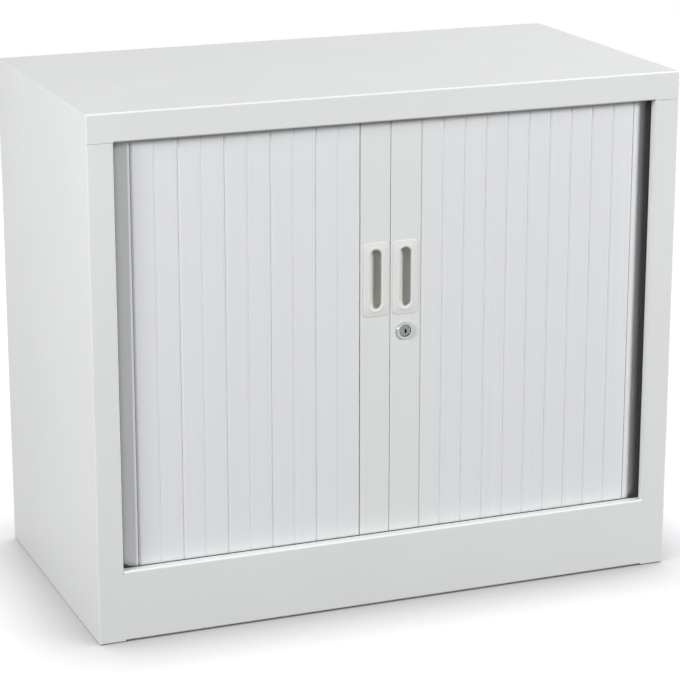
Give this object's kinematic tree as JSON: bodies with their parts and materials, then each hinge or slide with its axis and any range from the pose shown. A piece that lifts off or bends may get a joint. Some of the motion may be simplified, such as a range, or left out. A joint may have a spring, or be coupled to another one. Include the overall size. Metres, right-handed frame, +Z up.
{
  "type": "tambour cupboard",
  "caption": "Low steel cupboard with two side-opening tambour shutters, recessed finger pulls, a cam lock, one shelf and levelling feet.",
  "frame": {"origin": "on the floor, under the middle of the cupboard", "axes": "+X to the right seen from the front, +Y from the front to the back, +Z up"},
  "size_m": [0.8, 0.42, 0.68],
  "materials": {
    "powder_coated_steel": "satin powder coat",
    "slat_plastic": "satin",
    "lead_slat_aluminium": "satin, coated light grey",
    "handle_plastic": "fine grain",
    "glide_nylon": "moulded",
    "black_track_plastic": "extruded",
    "black_rubber": "matt",
    "foot_plastic": "moulded",
    "zinc_plated_steel": "bright zinc",
    "chrome_plate": "polished"
  },
  "bodies": {
    "carcass": {"top_panel": "powder_coated_steel", "left_side_panel": "powder_coated_steel", "right_side_panel": "powder_coated_steel", "plinth_front": "powder_coated_steel", "back_panel": "powder_coated_steel", "base_pan": "powder_coated_steel", "head_pan": "powder_coated_steel", "floor_panel": "powder_coated_steel", "left_liner": "powder_coated_steel", "right_liner": "powder_coated_steel", "shelf": "powder_coated_steel", "foot_rails": "zinc_plated_steel", "shelf_clips": "zinc_plated_steel", "back_screws": "zinc_plated_steel", "front_track_bottom": "black_track_plastic", "front_track_top": "black_track_plastic", "left_track_bottom": "black_track_plastic", "left_track_top": "black_track_plastic", "right_track_bottom": "black_track_plastic", "right_track_top": "black_track_plastic", "end_stops": "black_rubber", "left_slat_01": "slat_plastic", "left_slat_02": "slat_plastic", "left_slat_03": "slat_plastic", "left_slat_04": "slat_plastic", "left_slat_05": "slat_plastic", "left_slat_06": "slat_plastic", "left_slat_07": "slat_plastic", "left_slat_08": "slat_plastic", "left_slat_09": "slat_plastic", "left_slat_10": "slat_plastic", "left_tail_slats": "slat_plastic", "right_slat_01": "slat_plastic", "right_slat_02": "slat_plastic", "right_slat_03": "slat_plastic", "right_slat_04": "slat_plastic", "right_slat_05": "slat_plastic", "right_slat_06": "slat_plastic", "right_slat_07": "slat_plastic", "right_slat_08": "slat_plastic", "right_slat_09": "slat_plastic", "right_slat_10": "slat_plastic", "right_tail_slats": "slat_plastic"},
    "left_shutter": {"left_lead_slat": "lead_slat_aluminium", "left_handle_cup": "handle_plastic", "left_lead_glides": "glide_nylon", "lock_keeper": "zinc_plated_steel", "keeper_screws": "zinc_plated_steel"},
    "right_shutter": {"right_lead_slat": "lead_slat_aluminium", "right_handle_cup": "handle_plastic", "right_lead_glides": "glide_nylon", "lock_housing": "chrome_plate", "lock_nut": "zinc_plated_steel"},
    "lock_barrel": {"lock_core": "chrome_plate", "lock_cam": "zinc_plated_steel", "lock_cam_screw": "zinc_plated_steel"},
    "front_left_foot": {"front_left_foot": "foot_plastic"},
    "front_right_foot": {"front_right_foot": "foot_plastic"},
    "rear_left_foot": {"rear_left_foot": "foot_plastic"},
    "rear_right_foot": {"rear_right_foot": "foot_plastic"}
  },
  "joints": [
    {"name": "left_shutter_slide", "type": "slide", "parent": "carcass", "child": "left_shutter", "axis": [-1, 0, 0], "range_m": [0, 0.3], "deforming": ["left_slat_01", "left_slat_02", "left_slat_03", "left_slat_04", "left_slat_05", "left_slat_06", "left_slat_07", "left_slat_08", "left_slat_09", "left_slat_10", "left_tail_slats"]},
    {"name": "right_shutter_slide", "type": "slide", "parent": "carcass", "child": "right_shutter", "axis": [1, 0, 0], "range_m": [0, 0.3], "deforming": ["right_slat_01", "right_slat_02", "right_slat_03", "right_slat_04", "right_slat_05", "right_slat_06", "right_slat_07", "right_slat_08", "right_slat_09", "right_slat_10", "right_tail_slats"]},
    {"name": "lock_turn", "type": "hinge", "parent": "right_shutter", "child": "lock_barrel", "pos_m": [0.0204, -0.19, 0.366], "axis": [0, 1, 0], "range_deg": [0, 90]},
    {"name": "front_left_foot_turn", "type": "hinge", "parent": "carcass", "child": "front_left_foot", "pos_m": [-0.367, -0.17, 0.03], "axis": [0, 0, 1], "continuous": true},
    {"name": "front_right_foot_turn", "type": "hinge", "parent": "carcass", "child": "front_right_foot", "pos_m": [0.367, -0.17, 0.03], "axis": [0, 0, 1], "continuous": true},
    {"name": "rear_left_foot_turn", "type": "hinge", "parent": "carcass", "child": "rear_left_foot", "pos_m": [-0.367, 0.17, 0.03], "axis": [0, 0, 1], "continuous": true},
    {"name": "rear_right_foot_turn", "type": "hinge", "parent": "carcass", "child": "rear_right_foot", "pos_m": [0.367, 0.17, 0.03], "axis": [0, 0, 1], "continuous": true}
  ]
}
